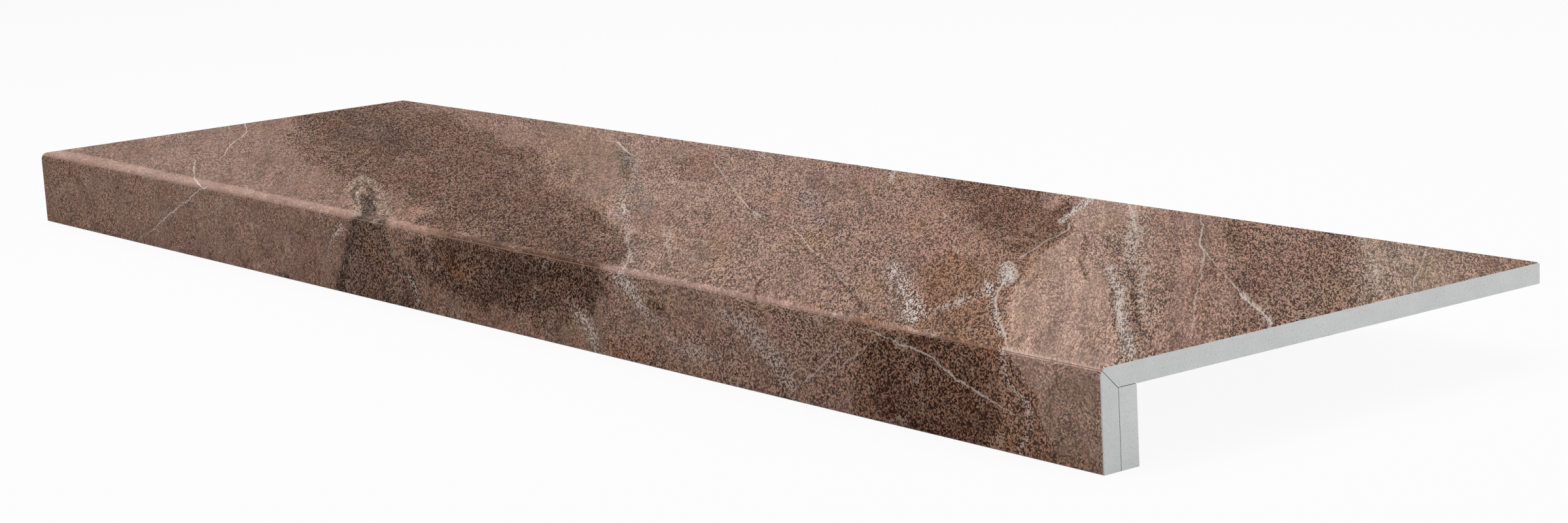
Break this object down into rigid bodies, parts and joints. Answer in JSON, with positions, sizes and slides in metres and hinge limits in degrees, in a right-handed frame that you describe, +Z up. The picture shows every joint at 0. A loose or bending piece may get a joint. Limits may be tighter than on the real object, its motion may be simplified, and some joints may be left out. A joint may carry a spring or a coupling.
{
  "type": "stair tread",
  "caption": "Long flat stair tread of stone-look porcelain tile with a rounded, mitred front edge folded down into a doubled nose.",
  "frame": {"origin": "middle of the outline's length and depth, at the foot of the nose", "axes": "+X along the step, to the right seen from the nose; +Y from the nose to the back edge; +Z up out of the walked-on face"},
  "size_m": [1.2, 0.33, 0.054],
  "materials": {
    "stone_look_tile": "satin brown marble-look face with pale veins; sawn sides and back in the pale grey tile body",
    "tile_body": "matt pale grey fired body, sawn",
    "epoxy": "dark grey cured epoxy"
  },
  "bodies": {
    "root": {"tread_slab": "stone_look_tile", "nosing_strip": "stone_look_tile", "backing_strip": "tile_body", "epoxy_bed": "epoxy"}
  },
  "joints": []
}
